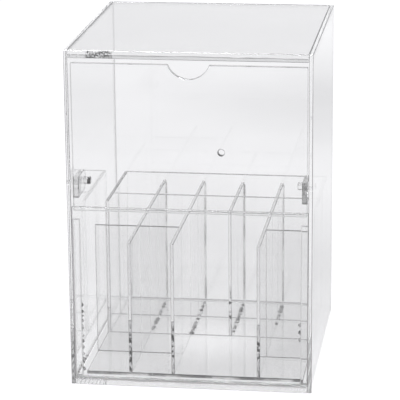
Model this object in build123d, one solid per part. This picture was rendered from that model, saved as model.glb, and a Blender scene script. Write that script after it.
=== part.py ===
from build123d import *
import os

# Clear sheet makeup brush holder: a tall box with a drop-down upper front
# door and a fixed egg-crate tray of compartments inside.
# Millimetres. +Z up, the front faces -Y, the origin is the middle of the
# underside. Every sheet is its own solid.

os.makedirs("parts", exist_ok=True)

# ---------------------------------------------------------------- dimensions
CASE_W = 180.0            # outside width, X
CASE_D = 190.0            # outside depth, Y
CASE_H = 255.0            # outside height, Z
T_SIDE = 3.0              # side walls, back wall, door, lower front panel
T_PLATE = 6.0             # top plate and base plate
GLUE = 0.05               # solvent joint line between two glued sheets
EDGE = 0.45               # broken edge of a case or door sheet
TRAY_EDGE = 0.3           # broken edge of a tray sheet

PANEL_TOP_Z = 138.0       # top edge of the fixed lower front panel

DOOR_W = 172.0            # 1 mm clear of each side wall
DOOR_TOP_Z = 245.0        # 4 mm under the top plate
DOOR_BOTTOM_Z = 134.5     # 3.5 mm behind the lower panel's top edge
DOOR_FACE_D = 3.3         # door's front face, behind the case front
NOTCH_W = 30.0            # finger notch in the door's top edge
NOTCH_DEEP = 10.5
NOTCH_LIP_R = 4.0         # rounded shoulders of the notch

PIN_D = 27.0              # hinge axis, behind the case front
PIN_Z = 151.5             # hinge axis height
PIN_R = 2.0
PIN_HOLE_R = 2.02         # pin is held in the side wall
EAR_HOLE_R = 2.06         # ear turns on the pin
PIN_HEAD_R = 3.0
PIN_HEAD_L = 4.8
EAR_R = 8.0               # round end of the ear
EAR_OUT_X = 85.8          # outer face of the ear
T_EAR = 4.0

STRIP_W = 5.4             # strip in the corner behind the lower panel
STRIP_D = 4.0
STRIP_TOP_Z = 128.0

VENT_R = 2.5              # round hole near the middle of the back wall
VENT_Z = 133.0

T_TRAY = 2.5              # tray sheets
TRAY_PITCH_X = 32.0       # compartment pitch across
TRAY_FRONT_D = 7.5        # front ends of the long dividers and the tray floor
TRAY_SHIFT_X = 2.0        # the tray stands this far right of the middle
TRAY_TOP_Z = 110.0        # top of the dividers
TRAY_RIM_Z = 116.0        # top of the taller back and side sheets
LAP = 0.12                # clearance each side of a half-lap slot

# ------------------------------------------------------------ derived values
IN_X = CASE_W / 2 - T_SIDE            # inner face of a side wall
BACK_IN_D = CASE_D - T_SIDE           # inner face of the back wall
TRAY_X0 = TRAY_SHIFT_X - 2.5 * TRAY_PITCH_X - T_TRAY / 2
TRAY_X1 = TRAY_SHIFT_X + 2.5 * TRAY_PITCH_X + T_TRAY / 2
TRAY_FLOOR_Z0 = T_PLATE + GLUE
TRAY_FLOOR_Z1 = TRAY_FLOOR_Z0 + T_TRAY
TRAY_Z0 = TRAY_FLOOR_Z1 + GLUE        # foot of every upright tray sheet
ROW_A = BACK_IN_D - 1.0 - T_TRAY / 2  # middle of the tray's back sheet
ROW_PITCH = (ROW_A - TRAY_FRONT_D) / 4
ROW_B = ROW_A - ROW_PITCH
ROW_C = ROW_A - 2 * ROW_PITCH
ROW_D = ROW_A - 3 * ROW_PITCH
COL = [TRAY_SHIFT_X + (-2.5 + i) * TRAY_PITCH_X for i in range(6)]  # left to right
LAP_Z = (TRAY_Z0 + TRAY_TOP_Z) / 2    # where two crossing sheets meet


def y_of(d):
    """Y of a point d millimetres behind the case front."""
    return d - CASE_D / 2


def block(x0, x1, d0, d1, z0, z1):
    """Plain block between two corners, depth measured from the case front."""
    return Pos((x0 + x1) / 2, y_of((d0 + d1) / 2), (z0 + z1) / 2) * Box(
        x1 - x0, d1 - d0, z1 - z0)


def sheet(x0, x1, d0, d1, z0, z1, edge=EDGE):
    """Sheet with every edge broken by a small chamfer."""
    b = block(x0, x1, d0, d1, z0, z1)
    return chamfer(b.edges(), edge)


def rod_x(x0, x1, d, z, r):
    """Round bar along X."""
    return Pos((x0 + x1) / 2, y_of(d), z) * Rot(0, 90, 0) * Cylinder(r, abs(x1 - x0))


def save(shape, name, tint):
    solids = shape.solids()
    out = solids[0] if len(solids) == 1 else Compound(children=list(solids))
    out.label = name
    out.color = Color(*tint)
    export_step(out, os.path.join("parts", name + ".step"))


CASE = (0.86, 0.90, 0.93, 0.35)
DOOR = (0.72, 0.84, 0.95, 0.35)
TRAY = (0.93, 0.88, 0.80, 0.45)
PIN = (0.55, 0.58, 0.62, 1.0)

# --------------------------------------------------------------------- case
gx = IN_X - GLUE
base_plate = sheet(-gx, gx, 0, BACK_IN_D - GLUE, 0, T_PLATE)
top_plate = sheet(-gx, gx, 0, BACK_IN_D - GLUE, CASE_H - T_PLATE, CASE_H)
lower_front_panel = sheet(-gx, gx, 0, T_SIDE, T_PLATE + GLUE, PANEL_TOP_Z)

back_wall = sheet(-gx, gx, BACK_IN_D, CASE_D, 0, CASE_H)
vent = Pos(0, y_of(CASE_D - T_SIDE / 2), VENT_Z) * Rot(90, 0, 0) * Cylinder(
    VENT_R, T_SIDE * 3)
back_wall = back_wall - vent

left_side_wall = sheet(-CASE_W / 2, -IN_X, 0, CASE_D, 0, CASE_H)
right_side_wall = sheet(IN_X, CASE_W / 2, 0, CASE_D, 0, CASE_H)
left_side_wall = left_side_wall - rod_x(
    -CASE_W / 2 - 2, -IN_X + 2, PIN_D, PIN_Z, PIN_HOLE_R)
right_side_wall = right_side_wall - rod_x(
    IN_X - 2, CASE_W / 2 + 2, PIN_D, PIN_Z, PIN_HOLE_R)

# square strips that stiffen the corners behind the lower front panel
strip = dict(d0=T_SIDE + GLUE, d1=T_SIDE + GLUE + STRIP_D,
             z0=T_PLATE + GLUE, z1=STRIP_TOP_Z)
left_corner_strip = sheet(-gx, -gx + STRIP_W, **strip)
right_corner_strip = sheet(gx - STRIP_W, gx, **strip)

# --------------------------------------------------------------------- door
# outline of the door in the XZ plane, with the finger notch in its top edge
arc_r = (NOTCH_W ** 2 / 4 + NOTCH_DEEP ** 2) / (2 * NOTCH_DEEP)
with BuildSketch(Plane.XZ) as door_outline:
    with Locations((0, (DOOR_TOP_Z + DOOR_BOTTOM_Z) / 2)):
        Rectangle(DOOR_W, DOOR_TOP_Z - DOOR_BOTTOM_Z)
    with Locations((0, DOOR_TOP_Z - NOTCH_DEEP + arc_r)):
        Circle(arc_r, mode=Mode.SUBTRACT)
    top = [v for v in door_outline.vertices()
           if abs(v.Z - DOOR_TOP_Z) < 1e-6 and abs(v.X) < NOTCH_W]
    fillet(top, NOTCH_LIP_R)
    ends = [v for v in door_outline.vertices() if abs(abs(v.X) - DOOR_W / 2) < 1e-6]
    fillet(ends, 1.0)
door_panel = extrude(door_outline.sketch, amount=T_SIDE, dir=(0, 1, 0))
door_panel = Pos(0, y_of(DOOR_FACE_D), 0) * door_panel
door_panel = chamfer(
    door_panel.edges().filter_by(lambda e: abs(
        e.center().Y - y_of(DOOR_FACE_D)) < 1e-6 or abs(
        e.center().Y - y_of(DOOR_FACE_D + T_SIDE)) < 1e-6), EDGE)

# hinge ear: a flat tongue behind the door with a round end on the pin
ear_front = DOOR_FACE_D + T_SIDE + GLUE


def ear(x0, x1):
    with BuildSketch(Plane.YZ) as s:
        with Locations(((y_of(ear_front) + y_of(PIN_D)) / 2, PIN_Z)):
            Rectangle(PIN_D - ear_front, 2 * EAR_R)
        with Locations((y_of(PIN_D), PIN_Z)):
            Circle(EAR_R)
        corner = [v for v in s.vertices()
                  if abs(v.Y - y_of(ear_front)) < 1e-6 and v.Z > PIN_Z]
        fillet(corner, 3.0)
        with Locations((y_of(PIN_D), PIN_Z)):
            Circle(EAR_HOLE_R, mode=Mode.SUBTRACT)
    body = Pos(x0, 0, 0) * extrude(s.sketch, amount=x1 - x0, dir=(1, 0, 0))
    rim = [e for e in body.edges()
           if min(abs(e.center().X - x0), abs(e.center().X - x1)) < 1e-6
           and not (e.geom_type == GeomType.CIRCLE
                    and abs(e.radius - EAR_HOLE_R) < 1e-6)]
    return chamfer(rim, EDGE)


left_hinge_ear = ear(-EAR_OUT_X, -EAR_OUT_X + T_EAR)
right_hinge_ear = ear(EAR_OUT_X - T_EAR, EAR_OUT_X)


# hinge pin: plain shaft through the side wall and the ear, round head inside
def pin(side):
    out, inn = CASE_W / 2 - 0.1, EAR_OUT_X - T_EAR - 0.25
    head_end = inn - PIN_HEAD_L
    shaft = rod_x(inn - 1.0, out, PIN_D, PIN_Z, PIN_R)
    head = rod_x(head_end, inn, PIN_D, PIN_Z, PIN_HEAD_R)
    tip = [e for e in head.edges() if abs(e.center().X - head_end) < 1e-6]
    head = fillet(tip, 1.2)
    p = shaft + head
    face = [e for e in p.edges() if e.geom_type == GeomType.CIRCLE
            and abs(e.center().X - out) < 1e-6]
    p = chamfer(face, 0.25)
    return p if side > 0 else p.mirror(Plane.YZ)


right_hinge_pin = pin(1)
left_hinge_pin = pin(-1)

# --------------------------------------------------------------------- tray
h = T_TRAY / 2
tray_floor = sheet(TRAY_X0, TRAY_X1, TRAY_FRONT_D, ROW_A + h,
                   TRAY_FLOOR_Z0, TRAY_FLOOR_Z1, TRAY_EDGE)
tray_back_wall = sheet(TRAY_X0, TRAY_X1, ROW_A - h, ROW_A + h,
                       TRAY_Z0, TRAY_RIM_Z, TRAY_EDGE)
side = dict(d0=ROW_C - h, d1=ROW_A - h - GLUE, z0=TRAY_Z0, z1=TRAY_RIM_Z,
            edge=TRAY_EDGE)
tray_left_wall = sheet(TRAY_X0, TRAY_X0 + T_TRAY, **side)
tray_right_wall = sheet(TRAY_X1 - T_TRAY, TRAY_X1, **side)


def slot(x, d, upper):
    """Half of a half-lap: the upper or the lower half of the crossing."""
    w = h + LAP
    z0, z1 = (LAP_Z, TRAY_RIM_Z + 5) if upper else (TRAY_Z0 - 5, LAP_Z + GLUE)
    return block(x - w, x + w, d - w, d + w, z0, z1)


def long_sheet(x, d0, d1, crossings):
    s = sheet(x - h, x + h, d0, d1, TRAY_Z0, TRAY_TOP_Z, TRAY_EDGE)
    for d in crossings:
        s = s - slot(x, d, True)
    return s


def cross_sheet(d, x0, x1, crossings):
    s = sheet(x0, x1, d - h, d + h, TRAY_Z0, TRAY_TOP_Z, TRAY_EDGE)
    for x in crossings:
        s = s - slot(x, d, False)
    return s


rear_end = ROW_A - h - GLUE
long_divider_left = long_sheet(COL[1], TRAY_FRONT_D, rear_end, [ROW_B, ROW_C, ROW_D])
long_divider_centre = long_sheet(COL[2], TRAY_FRONT_D, rear_end, [ROW_B, ROW_C])
long_divider_right = long_sheet(COL[4], TRAY_FRONT_D, rear_end, [ROW_B, ROW_C])
short_divider = long_sheet(COL[3], ROW_C + h + GLUE, rear_end, [ROW_B])

inner = (TRAY_X0 + T_TRAY + GLUE, TRAY_X1 - T_TRAY - GLUE)
cross_divider_rear = cross_sheet(ROW_B, *inner, COL[1:5])
cross_divider_middle = cross_sheet(ROW_C, *inner, [COL[1], COL[2], COL[4]])
front_divider_left = cross_sheet(ROW_D, TRAY_X0, COL[2] - h - GLUE, [COL[1]])
front_divider_right = cross_sheet(ROW_D, COL[4] + h + GLUE, TRAY_X1, [])

# -------------------------------------------------------------------- output
for name, shape, tint in [
    ("base_plate", base_plate, CASE),
    ("top_plate", top_plate, CASE),
    ("left_side_wall", left_side_wall, CASE),
    ("right_side_wall", right_side_wall, CASE),
    ("back_wall", back_wall, CASE),
    ("lower_front_panel", lower_front_panel, CASE),
    ("left_corner_strip", left_corner_strip, CASE),
    ("right_corner_strip", right_corner_strip, CASE),
    ("door_panel", door_panel, DOOR),
    ("left_hinge_ear", left_hinge_ear, DOOR),
    ("right_hinge_ear", right_hinge_ear, DOOR),
    ("left_hinge_pin", left_hinge_pin, PIN),
    ("right_hinge_pin", right_hinge_pin, PIN),
    ("tray_floor", tray_floor, TRAY),
    ("tray_back_wall", tray_back_wall, TRAY),
    ("tray_left_wall", tray_left_wall, TRAY),
    ("tray_right_wall", tray_right_wall, TRAY),
    ("long_divider_left", long_divider_left, TRAY),
    ("long_divider_centre", long_divider_centre, TRAY),
    ("long_divider_right", long_divider_right, TRAY),
    ("short_divider", short_divider, TRAY),
    ("cross_divider_rear", cross_divider_rear, TRAY),
    ("cross_divider_middle", cross_divider_middle, TRAY),
    ("front_divider_left", front_divider_left, TRAY),
    ("front_divider_right", front_divider_right, TRAY),
]:
    save(shape, name, tint)
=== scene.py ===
import math
import random

import bmesh
import bpy
from mathutils import Matrix, Vector


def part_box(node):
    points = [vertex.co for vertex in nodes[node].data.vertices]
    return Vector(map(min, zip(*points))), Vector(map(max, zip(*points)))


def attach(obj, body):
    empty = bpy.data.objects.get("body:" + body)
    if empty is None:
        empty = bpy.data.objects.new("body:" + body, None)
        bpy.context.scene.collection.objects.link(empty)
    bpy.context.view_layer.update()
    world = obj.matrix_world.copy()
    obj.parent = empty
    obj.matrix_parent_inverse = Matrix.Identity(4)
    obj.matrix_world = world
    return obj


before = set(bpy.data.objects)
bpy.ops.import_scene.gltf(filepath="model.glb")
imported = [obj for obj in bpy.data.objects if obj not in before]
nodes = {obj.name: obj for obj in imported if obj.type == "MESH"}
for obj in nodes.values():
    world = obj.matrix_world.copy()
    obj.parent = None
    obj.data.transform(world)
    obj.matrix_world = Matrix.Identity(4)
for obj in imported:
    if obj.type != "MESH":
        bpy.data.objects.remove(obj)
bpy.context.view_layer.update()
scene = bpy.context.scene

# ------------------------------------------------------------------ camera
# The photograph's view: from the right and above, long lens, image 400 x 400.
FOCAL_PX = 2101.0
RIGHT = Vector((0.99064, 0.13625, -0.00843)).normalized()
FORWARD = Vector((-0.13332, 0.95238, -0.27422)).normalized()
FORWARD = (FORWARD - RIGHT * FORWARD.dot(RIGHT)).normalized()
UP = RIGHT.cross(FORWARD).normalized()
cam_data = bpy.data.cameras.new("camera")
cam_data.sensor_width = 36.0
cam_data.lens = FOCAL_PX * 36.0 / 400.0
cam_data.clip_start = 0.05
cam_data.clip_end = 60.0
cam = bpy.data.objects.new("camera", cam_data)
scene.collection.objects.link(cam)
m = Matrix((RIGHT, UP, -FORWARD)).transposed().to_4x4()
m.translation = Vector((0.21109, -1.54378, 0.56328))
cam.matrix_world = m
scene.camera = cam


# ------------------------------------------------------------------ node helpers
def tree(mat):
    mat.use_nodes = True
    nt = mat.node_tree
    nt.nodes.clear()
    return nt


def add(nt, kind, **values):
    n = nt.nodes.new(kind)
    for key, value in values.items():
        if hasattr(n, key):
            setattr(n, key, value)
        else:
            n.inputs[key.replace("_", " ")].default_value = value
    return n


def put(n, socket, value):
    n.inputs[socket].default_value = value
    return n


def join(nt, a, b):
    nt.links.new(a, b)


def maths(nt, op, a, b=None, clamp=False):
    n = nt.nodes.new("ShaderNodeMath")
    n.operation = op
    n.use_clamp = clamp
    for i, v in enumerate((a, b)):
        if v is None:
            continue
        if isinstance(v, (int, float)):
            n.inputs[i].default_value = v
        else:
            nt.links.new(v, n.inputs[i])
    return n.outputs[0]


# ------------------------------------------------------------------ clear acrylic
def blend_value(nt, fac, a, b):
    """a where fac is 0 and b where it is 1; a and b are numbers or sockets."""
    n = nt.nodes.new("ShaderNodeMix")
    n.data_type = "FLOAT"
    nt.links.new(fac, n.inputs[0])
    for i, v in ((2, a), (3, b)):
        if isinstance(v, (int, float)):
            n.inputs[i].default_value = v
        else:
            nt.links.new(v, n.inputs[i])
    return n.outputs[0]


def acrylic(name, axis, face=0.985, edge=0.95, arris=0.5, density=0.3,
            haze=(0.0, 0.012), edge_rough=0.03, saw=0.00003,
            foot=None, chatter=0.0, patch_shade=0.0, marks=(300.0, 0.55, 0.58), painted_shade_span=None, front=(),
            hole=None, upright=None, rear=None, sides=None, wavy=0.00003, shade=None,
            rub=None, graze=None, top_edge=None):
    """Clear sheet. axis is the sheet's thickness direction: the two faces across it are
    glossy, the cut edges round it keep fine marks from the saw, and the arrises between
    them are rubbed down. Cut edges and arrises are painted grey, a painted shade that
    stands in for the dark lines refraction shows along them. Below the height foot, the
    cut edges carry the chatter of the cutter, and dark patches are painted on them, a
    painted shade for the dark that refraction shows where the cement left gaps in the seam;
    their scale and threshold are marks and their strength joint; nick is a stretch along X
    that has them at any height, and front the places along Y of the edges that show them.
    hole is the middle and radius of a drilled hole, whose wall and rim are rough; its wall
    is painted black, a painted shade, and the faces round its rim are painted darker
    towards the lower left. upright, rear and sides are the arrises' painted levels along
    upright edges, along those at the back and along those at the left and right ends, where
    they differ from the rest. wavy is the height of the faces' casting waves. shade is where,
    along Y, a painted shade on the faces, darker towards the rear, starts and ends, and its
    level. rub is the roughness of arrises rubbed down dull and where, along Y, they start.
    graze is the level of the faces at a flat angle, a painted shade standing in for the
    longer path through the sheet; a shade goes with it. top_edge is the painted level of
    the edges that lie level, where it differs."""
    mat = bpy.data.materials.new(name)
    nt = tree(mat)
    out = add(nt, "ShaderNodeOutputMaterial")
    p = add(nt, "ShaderNodeBsdfPrincipled")
    put(p, "Transmission Weight", 1.0)
    put(p, "IOR", 1.49)
    put(p, "Metallic", 0.0)

    tex = add(nt, "ShaderNodeTexCoord")
    sep = add(nt, "ShaderNodeSeparateXYZ")
    join(nt, tex.outputs["Normal"], sep.inputs[0])
    facing = maths(nt, "ABSOLUTE", sep.outputs["XYZ".index(axis)])
    not_face = maths(nt, "LESS_THAN", facing, 0.9)
    is_edge = maths(nt, "LESS_THAN", facing, 0.45)

    # colour: clean faces; cut edges and arrises painted grey, a painted shade for the dark lines that refraction
    # shows along them
    place = add(nt, "ShaderNodeSeparateXYZ")
    join(nt, tex.outputs["Object"], place.inputs[0])
    edge_level, arris_level = edge, arris
    if top_edge is not None:
        level_edge = maths(nt, "GREATER_THAN", maths(nt, "ABSOLUTE", sep.outputs["Z"]), 0.9)
        edge_level = blend_value(nt, level_edge, edge, top_edge)
    if upright is not None:
        lying = maths(nt, "GREATER_THAN", maths(nt, "ABSOLUTE", sep.outputs["Z"]), 0.3)
        arris_level = blend_value(nt, lying, upright, arris)
    if rear is not None:
        behind = maths(nt, "GREATER_THAN", sep.outputs["Y"], 0.3)
        arris_level = blend_value(nt, behind, arris_level, rear)
    if sides is not None:
        at_end = maths(nt, "GREATER_THAN", maths(nt, "ABSOLUTE", sep.outputs["X"]), 0.5)
        arris_level = blend_value(nt, at_end, arris_level, sides)
    painted_dark_hole, low = None, None
    if foot is not None:
        low = add(nt, "ShaderNodeMapRange")
        put(low, "From Min", foot[0])
        put(low, "From Max", foot[1])
        put(low, "To Min", 1.0)
        put(low, "To Max", 0.0)
        join(nt, place.outputs["Z"], low.inputs["Value"])
        low = low.outputs[0]
    if painted_shade_span is not None:
        low = maths(nt, "MULTIPLY", maths(nt, "GREATER_THAN", place.outputs["X"], painted_shade_span[0]),
                    maths(nt, "LESS_THAN", place.outputs["X"], painted_shade_span[1]))
    # painted shade: dark patches painted on the low cut edges and on a stretch along X, for the dark that refraction
    # shows in gaps in the cement
    if low is not None:
        low = maths(nt, "MULTIPLY", low, maths(nt, "LESS_THAN", sep.outputs["Y"], -0.5))
        ends = None
        for at in front:
            here = maths(nt, "LESS_THAN", maths(nt, "ABSOLUTE", maths(
                nt, "SUBTRACT", place.outputs["Y"], at)), 0.0008)
            ends = here if ends is None else maths(nt, "MAXIMUM", ends, here)
        if ends is not None:
            low = maths(nt, "MULTIPLY", low, ends)
        patch = add(nt, "ShaderNodeTexNoise")
        put(patch, "Scale", marks[0])
        put(patch, "Detail", 2.0)
        put(patch, "Roughness", 0.6)
        join(nt, tex.outputs["Object"], patch.inputs["Vector"])
        painted_patch = add(nt, "ShaderNodeMapRange")
        put(painted_patch, "From Min", marks[1])
        put(painted_patch, "From Max", marks[2])
        put(painted_patch, "To Min", 0.0)
        put(painted_patch, "To Max", patch_shade)
        join(nt, patch.outputs["Fac"], painted_patch.inputs["Value"])
        edge_level = blend_value(nt, maths(nt, "MULTIPLY", painted_patch.outputs[0], low), edge_level, 0.0)
    # painted shade: the hole's wall is painted black, its edges and arrises too
    if hole is not None:
        far = add(nt, "ShaderNodeVectorMath")
        far.operation = "DISTANCE"
        flat = add(nt, "ShaderNodeCombineXYZ")
        join(nt, place.outputs["X"], flat.inputs[0])
        join(nt, place.outputs["Z"], flat.inputs[2])
        join(nt, flat.outputs[0], far.inputs[0])
        far.inputs[1].default_value = (hole[0], 0.0, hole[1])
        near = maths(nt, "LESS_THAN", far.outputs["Value"], hole[2] + 0.0008)
        painted_dark_hole = maths(nt, "MULTIPLY", near, maths(nt, "MULTIPLY", not_face, 0.9))
        edge_level = blend_value(nt, near, edge_level, 0.0)
        arris_level = blend_value(nt, near, arris_level, 0.0)
    face_level = face
    # the faces round the hole's rim are painted darker towards the lower left
    if hole is not None:
        rim = maths(nt, "LESS_THAN", far.outputs["Value"], hole[2] + 0.0007)
        aslant = maths(nt, "ADD", place.outputs["X"], maths(nt, "SUBTRACT", place.outputs["Z"],
                                                            hole[0] + hole[1]))
        rim_ramp = maths(nt, "ADD", maths(nt, "MULTIPLY", aslant, 150.0), 0.45, clamp=True)
        face_level = blend_value(nt, rim, face, rim_ramp)
    # painted shade: faces darker towards the rear along Y, and darker at a flat angle
    if shade is not None:
        painted_rear_shade = add(nt, "ShaderNodeMapRange")
        painted_rear_shade.interpolation_type = "SMOOTHSTEP"
        put(painted_rear_shade, "From Min", shade[0])
        put(painted_rear_shade, "From Max", shade[1])
        put(painted_rear_shade, "To Min", graze)
        put(painted_rear_shade, "To Max", shade[2])
        join(nt, place.outputs["Y"], painted_rear_shade.inputs["Value"])
        flat_on = add(nt, "ShaderNodeLayerWeight")
        put(flat_on, "Blend", 0.5)
        slant = add(nt, "ShaderNodeMapRange")
        slant.interpolation_type = "SMOOTHSTEP"
        put(slant, "From Min", 0.35)
        put(slant, "From Max", 0.80)
        join(nt, flat_on.outputs["Facing"], slant.inputs["Value"])
        face_level = blend_value(nt, slant.outputs[0], face, painted_rear_shade.outputs[0])
    level = blend_value(nt, not_face, face_level,
                        blend_value(nt, is_edge, arris_level, edge_level))
    grey = add(nt, "ShaderNodeCombineColor")
    for i in range(3):
        join(nt, level, grey.inputs[i])
    join(nt, grey.outputs[0], p.inputs["Base Color"])
    if painted_dark_hole is not None:
        join(nt, painted_dark_hole, p.inputs["Metallic"])

    # roughness: soft patches of handling haze on the faces, polish marks on the edges
    cloud = add(nt, "ShaderNodeTexNoise")
    put(cloud, "Scale", 18.0)
    put(cloud, "Detail", 4.0)
    put(cloud, "Roughness", 0.55)
    join(nt, tex.outputs["Object"], cloud.inputs["Vector"])
    ramp = add(nt, "ShaderNodeMapRange")
    put(ramp, "From Min", 0.45)
    put(ramp, "From Max", 0.75)
    put(ramp, "To Min", haze[0])
    put(ramp, "To Max", haze[1])
    join(nt, cloud.outputs["Fac"], ramp.inputs["Value"])
    cut_rough = edge_rough
    if rub is not None:
        dull = maths(nt, "MULTIPLY", maths(nt, "SUBTRACT", 1.0, is_edge),
                     maths(nt, "GREATER_THAN", place.outputs["Y"], rub[1]))
        cut_rough = blend_value(nt, dull, edge_rough, rub[0])
    join(nt, blend_value(nt, not_face, ramp.outputs[0], cut_rough), p.inputs["Roughness"])

    # surface: faint casting waviness on the faces, saw marks across the cut edges
    wave = add(nt, "ShaderNodeTexNoise")
    put(wave, "Scale", 26.0)
    put(wave, "Detail", 2.0)
    join(nt, tex.outputs["Object"], wave.inputs["Vector"])
    stretch = add(nt, "ShaderNodeVectorMath")
    stretch.operation = "MULTIPLY"
    stretch.inputs[1].default_value = [0.06 if c == axis else 1.0 for c in "XYZ"]
    join(nt, tex.outputs["Object"], stretch.inputs[0])
    sawn = add(nt, "ShaderNodeTexNoise")
    put(sawn, "Scale", 420.0)
    put(sawn, "Detail", 3.0)
    put(sawn, "Roughness", 0.6)
    join(nt, stretch.outputs[0], sawn.inputs["Vector"])
    depth = saw if low is None else blend_value(nt, low, saw, saw + chatter)
    height = blend_value(nt, not_face,
                         maths(nt, "MULTIPLY", wave.outputs["Fac"], wavy),
                         maths(nt, "MULTIPLY", sawn.outputs["Fac"], depth))
    bump = add(nt, "ShaderNodeBump")
    put(bump, "Strength", 1.0)
    put(bump, "Distance", 1.0)
    join(nt, height, bump.inputs["Height"])
    join(nt, bump.outputs[0], p.inputs["Normal"])

    vol = add(nt, "ShaderNodeVolumeAbsorption")
    put(vol, "Color", (0.0, 0.0, 0.0, 1))
    put(vol, "Density", density)
    join(nt, p.outputs[0], out.inputs["Surface"])
    join(nt, vol.outputs[0], out.inputs["Volume"])
    return mat


AXIS = {
    "base_plate": "Z", "top_plate": "Z", "left_side_wall": "X", "right_side_wall": "X",
    "back_wall": "Y", "lower_front_panel": "Y", "left_corner_strip": "Y",
    "right_corner_strip": "Y", "door_panel": "Y", "left_hinge_ear": "X",
    "right_hinge_ear": "X", "left_hinge_pin": "X", "right_hinge_pin": "X",
    "tray_floor": "Z", "tray_back_wall": "Y", "tray_left_wall": "X",
    "tray_right_wall": "X", "long_divider_left": "X", "long_divider_centre": "X",
    "long_divider_right": "X", "short_divider": "X", "cross_divider_rear": "Y",
    "cross_divider_middle": "Y", "front_divider_left": "Y", "front_divider_right": "Y",
}
FRONT_ENDS = tuple(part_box(n)[0][1] for n in ("long_divider_left", "short_divider"))
SPEC = {
    "top": dict(face=0.985, edge=1.0, arris=0.25, density=0.4, edge_rough=0.0,
                saw=0.000001, painted_shade_span=(-0.0735, -0.0545), patch_shade=0.95, marks=(900.0, 0.45, 0.49),
                chatter=0.0001, sides=0.75, front=(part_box("top_plate")[0][1],),
                rub=(0.35, 0.0)),
    "base": dict(face=0.99, edge=0.97, arris=0.30, density=0.3, edge_rough=0.0,
                 saw=0.000006, rub=(0.35, -1.0)),
    "wall": dict(face=0.985, edge=1.0, arris=0.85, density=0.1, upright=0.25,
                 edge_rough=0.0, saw=0.000004, foot=(0.026, 0.050), chatter=0.00003,
                 patch_shade=0.8, marks=(650.0, 0.55, 0.58), wavy=0.00001, haze=(0.0, 0.005)),
    "wall_plain": dict(face=0.985, edge=1.0, arris=0.85, density=0.1, upright=0.25,
                       edge_rough=0.0, saw=0.000004, wavy=0.00001, haze=(0.0, 0.005)),
    "back": dict(face=0.985, edge=0.98, arris=0.50, density=0.6, hole=(0.0, 0.133, 0.0025),
                 rub=(0.35, -1.0)),
    "panel": dict(face=0.985, edge=1.0, arris=0.40, density=0.5, edge_rough=0.0,
                  saw=0.000004, rub=(0.35, -1.0)),
    "door": dict(face=0.985, edge=0.98, arris=0.50, density=0.8),
    "ear": dict(face=0.97, edge=0.85, arris=0.20, density=1.0, saw=0.00001, edge_rough=0.0),
    # the right ear: darker faces, edges and arrises and denser absorption than the left
    "ear_darker": dict(face=0.95, edge=0.50, arris=0.10, density=2.0, saw=0.00001,
                       edge_rough=0.0),
    "divider": dict(face=0.98, graze=0.90, edge=0.97, top_edge=0.80, arris=0.02, density=0.4, edge_rough=0.0, saw=0.0,
                    upright=0.45, rear=0.25, foot=(0.044, 0.050), chatter=0.0001,
                    patch_shade=1.0, wavy=0.000003, haze=(0.0, 0.003), front=FRONT_ENDS,
                    marks=(300.0, 0.51, 0.53), shade=(-0.02, 0.08, 0.76)),
    # the left long divider: a darker copy of the dividers' painted shade
    "divider_left": dict(face=0.98, graze=0.82, edge=0.97, top_edge=0.80, arris=0.02, density=0.4, edge_rough=0.0,
                         saw=0.0, upright=0.45, rear=0.25, foot=(0.044, 0.050),
                         chatter=0.0001, patch_shade=1.0, wavy=0.000003, haze=(0.0, 0.003),
                         front=FRONT_ENDS, marks=(300.0, 0.50, 0.53),
                         shade=(-0.02, 0.08, 0.72)),
    "floor": dict(face=0.98, edge=1.0, arris=0.02, density=0.4, edge_rough=0.0, saw=0.0,
                  foot=(0.034, 0.044), chatter=0.0002, patch_shade=0.85, wavy=0.00001,
                  marks=(75.0, 0.50, 0.56)),
    "tray_left": dict(face=0.98, edge=1.0, top_edge=0.55, arris=0.05, density=0.4, edge_rough=0.0,
                      saw=0.0, upright=0.45, wavy=0.00001),
    "tray": dict(face=0.98, edge=1.0, arris=0.10, density=0.4, edge_rough=0.0, saw=0.0,
                 upright=0.45, wavy=0.00001),
    # the front dividers' faces are painted darker than the other sheets', a painted shade on the compartments seen
    # through them
    "front": dict(face=0.93, edge=1.0, top_edge=0.50, arris=0.02, density=0.4, edge_rough=0.0, saw=0.0,
                  upright=0.35, wavy=0.00001),
    "pin": dict(face=0.96, edge=0.98, arris=0.45, density=0.5, saw=0.000004,
                edge_rough=0.0),
    # the left pin is painted darker, with near-black patches on its head's end: painted reflections of dark
    # surroundings
    "pin_painted_dark": dict(face=0.60, edge=0.92, arris=0.0, density=0.5, saw=0.000004,
                       edge_rough=0.0, painted_shade_span=(-0.0792, -0.0762), patch_shade=1.0,
                       marks=(350.0, 0.42, 0.46)),
}


def family(n):
    if n.endswith("_ear"):
        return "ear" if n.startswith("left") else "ear_darker"
    if n.endswith("_pin"):
        return "pin_painted_dark" if n.startswith("left") else "pin"
    if n == "long_divider_left":
        return "divider_left"
    if n == "right_side_wall":
        return "wall_plain"
    if n == "left_side_wall":
        return "wall"
    if n.startswith("front_divider"):
        return "front"
    if n.startswith(("long_", "short_")):
        return "divider"
    if n == "tray_left_wall":
        return "tray_left"
    if n == "tray_floor":
        return "floor"
    if n.startswith(("tray_", "cross_")):
        return "tray"
    return {"top_plate": "top", "base_plate": "base", "back_wall": "back",
            "door_panel": "door"}.get(n, "panel")


made = {}
for n, axis in AXIS.items():
    key = f"{family(n)}_acrylic_{axis.lower()}"
    if key not in made:
        made[key] = acrylic(key, axis, **SPEC[family(n)])
    o = nodes[n]
    o.data.materials.clear()
    o.data.materials.append(made[key])

# ------------------------------------------------------------------ solvent joints
# Along the feet of the long dividers the cement has run out in separate drops, which
# lie in the corner between the sheet and the tray's floor.
GAP = 0.00004


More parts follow.
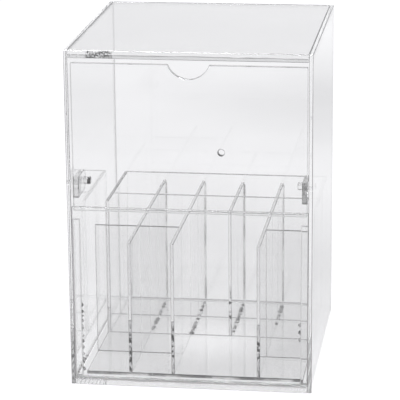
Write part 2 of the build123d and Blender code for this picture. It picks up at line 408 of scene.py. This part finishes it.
def drops(name, x, side, y0, y1, z, seed, size=0.0016, every=0.009, gaps=(), up=None):
    """Quarter-round drops against the face at x, on its side (+1 or -1), from y0 to y1.
    gaps are places along the row where another sheet crosses it. With up, the row stands
    upright from the height y0 to y1, in the corner with the sheet whose rear is at up."""
    rnd = random.Random(seed)
    bm = bmesh.new()
    y = y0 + rnd.uniform(0.001, every)
    while y < y1 - 0.004:
        if any(g - 0.0070 < y < g + 0.0017 for g in gaps):
            y += 0.0005
            continue
        length = rnd.uniform(0.0020, 0.0048)
        high = size * rnd.uniform(0.7, 1.25)
        wide = size * rnd.uniform(0.7, 1.25)
        rows, arc = 7, 5
        rings = []
        for i in range(rows):
            t = (i + 0.35) / (rows - 0.3)
            swell = math.sin(math.pi * t) ** 0.6
            points = [(0.0, 0.0)]
            for k in range(arc + 1):
                a = math.pi / 2 * k / arc
                points.append((wide * swell * math.cos(a), high * swell * math.sin(a)))
            along = y + length * t
            rings.append([bm.verts.new(
                (x + side * (GAP + u), along, z + GAP + v) if up is None
                else (x + side * (GAP + u), up + GAP + v, along)) for u, v in points])
        n_ring = arc + 2
        for a, b in zip(rings, rings[1:]):
            for k in range(n_ring):
                bm.faces.new((a[k], a[(k + 1) % n_ring], b[(k + 1) % n_ring], b[k]))
        bm.faces.new(list(reversed(rings[0])))
        bm.faces.new(rings[-1])
        y += length + rnd.uniform(0.0008, every)
    bmesh.ops.recalc_face_normals(bm, faces=bm.faces)
    me = bpy.data.meshes.new(name)
    bm.to_mesh(me)
    bm.free()
    for poly in me.polygons:
        poly.use_smooth = True
    o = bpy.data.objects.new(name, me)
    scene.collection.objects.link(o)
    return o


def seam(name, x, side, y, z0, z1, seed, size=0.0007):
    """A thin upright fillet in the corner between the face at x and the wall at y."""
    rnd = random.Random(seed)
    bm = bmesh.new()
    rows, arc = 60, 4
    wide = size
    rings = []
    for i in range(rows + 1):
        wide = min(max(wide + rnd.uniform(-0.00004, 0.00004), size * 0.7), size * 1.2)
        w = wide * (0.3 if i in (0, rows) else 1.0)
        z = z0 + (z1 - z0) * i / rows
        ring = [bm.verts.new((x + side * GAP, y - GAP, z))]
        for k in range(arc + 1):
            a = math.pi / 2 * k / arc
            ring.append(bm.verts.new((x + side * (GAP + w * math.cos(a)),
                                      y - GAP - w * math.sin(a), z)))
        rings.append(ring)
    n_ring = arc + 2
    for a, b in zip(rings, rings[1:]):
        for k in range(n_ring):
            bm.faces.new((a[k], a[(k + 1) % n_ring], b[(k + 1) % n_ring], b[k]))
    bm.faces.new(list(reversed(rings[0])))
    bm.faces.new(rings[-1])
    bmesh.ops.recalc_face_normals(bm, faces=bm.faces)
    me = bpy.data.meshes.new(name)
    bm.to_mesh(me)
    bm.free()
    for poly in me.polygons:
        poly.use_smooth = True
    o = bpy.data.objects.new(name, me)
    scene.collection.objects.link(o)
    return o


def cement(name, low, high, scale, depth):
    """Clear set cement: glossy, uneven by depth, its grey level between low and high; its grey, down to near black,
    is a painted shade for the dark that refraction shows in the cement.
    """
    mat = bpy.data.materials.new(name)
    nt = tree(mat)
    out = add(nt, "ShaderNodeOutputMaterial")
    p = add(nt, "ShaderNodeBsdfPrincipled")
    put(p, "Transmission Weight", 1.0)
    put(p, "IOR", 1.47)
    tex = add(nt, "ShaderNodeTexCoord")
    cloud = add(nt, "ShaderNodeTexNoise")
    put(cloud, "Scale", scale)
    put(cloud, "Detail", 2.0)
    join(nt, tex.outputs["Object"], cloud.inputs["Vector"])
    tint = add(nt, "ShaderNodeMapRange")
    put(tint, "From Min", 0.40)
    put(tint, "From Max", 0.60)
    put(tint, "To Min", low)
    put(tint, "To Max", high)
    join(nt, cloud.outputs["Fac"], tint.inputs["Value"])
    grey = add(nt, "ShaderNodeCombineColor")
    for i in range(3):
        join(nt, tint.outputs[0], grey.inputs[i])
    join(nt, grey.outputs[0], p.inputs["Base Color"])
    put(p, "Roughness", 0.02)
    bump = add(nt, "ShaderNodeBump")
    put(bump, "Strength", 1.0)
    put(bump, "Distance", depth)
    join(nt, cloud.outputs["Fac"], bump.inputs["Height"])
    join(nt, bump.outputs[0], p.inputs["Normal"])
    join(nt, p.outputs[0], out.inputs["Surface"])
    return mat


# the cements' grey is painted shade: near-black spots in the drops, grey in the seams
cement_and_painted_shade = cement("cement_and_painted_shade", 0.02, 1.0, 500.0, 0.0002)
seam_cement_and_painted_shade = cement("seam_cement_and_painted_shade", 0.35, 0.75, 60.0, 0.0)
tray_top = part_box("tray_floor")[1][2]
CROSSINGS = tuple((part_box(n)[0][1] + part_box(n)[1][1]) / 2
                  for n in ("cross_divider_rear", "cross_divider_middle"))
for i, (node, y_from, y_to) in enumerate((
        ("long_divider_left", 0.005, 0.085), ("long_divider_centre", 0.000, 0.085),
        ("short_divider", 0.000, 0.085), ("long_divider_right", 0.030, 0.085))):
    lo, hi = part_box(node)
    for side, x in ((1, hi[0]), (-1, lo[0])):
        y0, y1 = max(y_from, lo[1] + 0.004), min(y_to, hi[1] - 0.004)
        o = drops(f"{node}_cement_{'right' if side > 0 else 'left'}", x, side, y0, y1,
                  tray_top, 11 + 2 * i + (side > 0), gaps=CROSSINGS)
        o.data.materials.append(cement_and_painted_shade)
        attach(o, "case")
        # the seam between the divider's rear end and the tray's back wall, its grey a painted shade in that corner
        o = seam(f"{node}_seam_{'right' if side > 0 else 'left'}", x, side, hi[1],
                 tray_top + 0.0012, 0.1085, 31 + 2 * i + (side > 0))
        o.data.materials.append(seam_cement_and_painted_shade)
        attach(o, "case")
base_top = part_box("base_plate")[1][2]
for node, side, seed in (("left_side_wall", 1, 51), ("right_side_wall", -1, 53)):
    lo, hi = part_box(node)
    o = drops(f"{node}_cement", hi[0] if side > 0 else lo[0], side, -0.0865, -0.045,
              base_top, seed, 0.0017, 0.004)
    o.data.materials.append(cement_and_painted_shade)
    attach(o, "case")

# the same drops stand in the corners between the corner strips and the lower panel
panel_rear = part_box("lower_front_panel")[1][1]
for node, side, z0, z1, seed in (("left_corner_strip", 1, 0.008, 0.066, 71),
                                 ("right_corner_strip", -1, 0.036, 0.056, 74)):
    lo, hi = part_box(node)
    o = drops(f"{node}_cement", hi[0] if side > 0 else lo[0], side, z0, z1, 0.0, seed,
              0.0019, 0.0035, up=panel_rear)
    o.data.materials.append(cement_and_painted_shade)
    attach(o, "case")

# ------------------------------------------------------------------ floor
floor_mesh = bpy.data.meshes.new("floor")
R = 12.0
floor_mesh.from_pydata([(-R, -R, 0), (R, -R, 0), (R, R, 0), (-R, R, 0)], [], [(0, 1, 2, 3)])
floor = bpy.data.objects.new("floor", floor_mesh)
floor.location = (0, 0, -0.0002)
scene.collection.objects.link(floor)
fm = bpy.data.materials.new("floor_white")
nt = tree(fm)
out = add(nt, "ShaderNodeOutputMaterial")
d = add(nt, "ShaderNodeBsdfDiffuse")
put(d, "Color", (0.06, 0.06, 0.06, 1))
e = add(nt, "ShaderNodeEmission")
put(e, "Color", (0.994, 0.994, 1.012, 1))
path = add(nt, "ShaderNodeLightPath")
tex = add(nt, "ShaderNodeTexCoord")
soft = add(nt, "ShaderNodeTexNoise")
put(soft, "Scale", 1.3)
put(soft, "Detail", 1.0)
join(nt, tex.outputs["Object"], soft.inputs["Vector"])
level = add(nt, "ShaderNodeMapRange")
level.interpolation_type = "SMOOTHSTEP"
put(level, "From Min", 0.38)
put(level, "From Max", 0.62)
put(level, "To Min", -0.03)
put(level, "To Max", 0.03)
join(nt, soft.outputs["Fac"], level.inputs["Value"])


def pool(nt, centre, radius):
    """1 in the middle of a round patch of the floor, fading to 0 at its edge."""
    d = add(nt, "ShaderNodeVectorMath")
    d.operation = "DISTANCE"
    join(nt, tex.outputs["Object"], d.inputs[0])
    d.inputs[1].default_value = centre
    r = add(nt, "ShaderNodeMapRange")
    r.interpolation_type = "SMOOTHSTEP"
    put(r, "From Min", 0.0)
    put(r, "From Max", radius)
    put(r, "To Min", 1.0)
    put(r, "To Max", 0.0)
    join(nt, d.outputs["Value"], r.inputs["Value"])
    return r.outputs[0]


cloud = add(nt, "ShaderNodeTexNoise")
put(cloud, "Scale", 7.0)
put(cloud, "Detail", 2.0)
join(nt, tex.outputs["Object"], cloud.inputs["Vector"])
patchy = maths(nt, "MULTIPLY", maths(nt, "SUBTRACT", cloud.outputs["Fac"], 0.5), 0.10)

# painted light and shade in the floor's glow seen through the sheets: painted pools of light under the object,
# painted shade behind it
tone = maths(nt, "ADD", maths(nt, "ADD", level.outputs[0], patchy), 0.88)
tone = maths(nt, "SUBTRACT", tone, maths(nt, "MULTIPLY", pool(nt, (0.12, 0.22, 0), 0.34), 0.12))
tone = maths(nt, "SUBTRACT", tone, maths(nt, "MULTIPLY", pool(nt, (0.20, 0.84, 0), 0.45), 0.20))
tone = maths(nt, "ADD", tone, maths(nt, "MULTIPLY", pool(nt, (0.003, 0.0, 0), 0.07), 0.34))
tone = maths(nt, "ADD", tone, maths(nt, "MULTIPLY", pool(nt, (-0.075, -0.06, 0), 0.07), 0.05))
spot = add(nt, "ShaderNodeSeparateXYZ")
join(nt, tex.outputs["Object"], spot.inputs[0])
# painted light: brighter strips along the feet of the side walls
wall_foot_painted_light = maths(nt, "MULTIPLY", maths(nt, "LESS_THAN", maths(nt, "ABSOLUTE", maths(
    nt, "SUBTRACT", maths(nt, "ABSOLUTE", spot.outputs["X"]), 0.0885)), 0.0025),
    maths(nt, "LESS_THAN", maths(nt, "ABSOLUTE", spot.outputs["Y"]), 0.095))
tone = maths(nt, "ADD", tone, maths(nt, "MULTIPLY", wall_foot_painted_light, 0.35))
pick = add(nt, "ShaderNodeMix")
pick.data_type = "FLOAT"
join(nt, path.outputs["Is Camera Ray"], pick.inputs[0])
join(nt, tone, pick.inputs[2])
pick.inputs[3].default_value = 1.0
join(nt, pick.outputs[0], e.inputs["Strength"])
both = add(nt, "ShaderNodeAddShader")
join(nt, d.outputs[0], both.inputs[0])
join(nt, e.outputs[0], both.inputs[1])
join(nt, both.outputs[0], out.inputs["Surface"])
floor_mesh.materials.append(fm)

# ------------------------------------------------------------------ light
world = bpy.data.worlds.new("studio")
scene.world = world
world.use_nodes = True
nt = world.node_tree
nt.nodes.clear()
out = add(nt, "ShaderNodeOutputWorld")
bg = add(nt, "ShaderNodeBackground")
put(bg, "Color", (0.994, 0.994, 1.012, 1))
path = add(nt, "ShaderNodeLightPath")
tex = add(nt, "ShaderNodeTexCoord")
sep = add(nt, "ShaderNodeSeparateXYZ")
join(nt, tex.outputs["Generated"], sep.inputs[0])
# studio seen in and through the sheets: bright around, greyer overhead
ramp = add(nt, "ShaderNodeValToRGB")
cr = ramp.color_ramp
cr.interpolation = "EASE"
while len(cr.elements) > 1:
    cr.elements.remove(cr.elements[-1])
cr.elements[0].position, cr.elements[0].color = 0.0, (0.95, 0.95, 0.95, 1)
for position, level in ((0.12, 0.88), (0.205, 0.75), (0.25, 0.95), (0.305, 0.95), (0.35, 0.45), (0.42, 0.30), (0.80, 0.15), (0.90, 0.8), (1.0, 0.8)):
    cr.elements.new(position).color = (level, level, level, 1)
join(nt, sep.outputs[2], ramp.inputs["Fac"])
# ring of soft lights high up, which glints along the arrises
ring = add(nt, "ShaderNodeValToRGB")
cr = ring.color_ramp
cr.interpolation = "EASE"
while len(cr.elements) > 1:
    cr.elements.remove(cr.elements[-1])
cr.elements[0].position, cr.elements[0].color = 0.0, (0.0, 0.0, 0.0, 1)
for position, level in ((0.89, 0.0), (0.915, 1.0), (0.965, 1.0), (0.985, 0.0)):
    cr.elements.new(position).color = (level, level, level, 1)
join(nt, sep.outputs[2], ring.inputs["Fac"])
mirrored = maths(nt, "SUBTRACT", path.outputs["Is Glossy Ray"], path.outputs["Is Transmission Ray"], clamp=True)
glint = maths(nt, "MULTIPLY", maths(nt, "MULTIPLY", ring.outputs[0], mirrored), 24.0)
mixf = add(nt, "ShaderNodeMix")
mixf.data_type = "FLOAT"
join(nt, path.outputs["Is Camera Ray"], mixf.inputs[0])
join(nt, maths(nt, "ADD", ramp.outputs[0], glint), mixf.inputs[2])
mixf.inputs[3].default_value = 1.05
mixd = add(nt, "ShaderNodeMix")
mixd.data_type = "FLOAT"
join(nt, path.outputs["Is Diffuse Ray"], mixd.inputs[0])
join(nt, mixf.outputs[0], mixd.inputs[2])
mixd.inputs[3].default_value = 1.15
join(nt, mixd.outputs[0], bg.inputs["Strength"])
join(nt, bg.outputs[0], out.inputs["Surface"])

# ------------------------------------------------------------------ render look
scene.view_settings.view_transform = "Standard"
scene.view_settings.look = "None"
scene.cycles.max_bounces = 64
scene.cycles.diffuse_bounces = 3
scene.cycles.glossy_bounces = 64
scene.cycles.transmission_bounces = 64
scene.cycles.transparent_max_bounces = 16
scene.cycles.volume_bounces = 0
scene.cycles.sample_clamp_indirect = 0.0
scene.cycles.blur_glossy = 0.0
scene.cycles.use_denoising = True
scene.cycles.denoiser = "OPENIMAGEDENOISE"
scene.cycles.denoising_input_passes = "RGB_ALBEDO_NORMAL"
scene.cycles.denoising_prefilter = "ACCURATE"
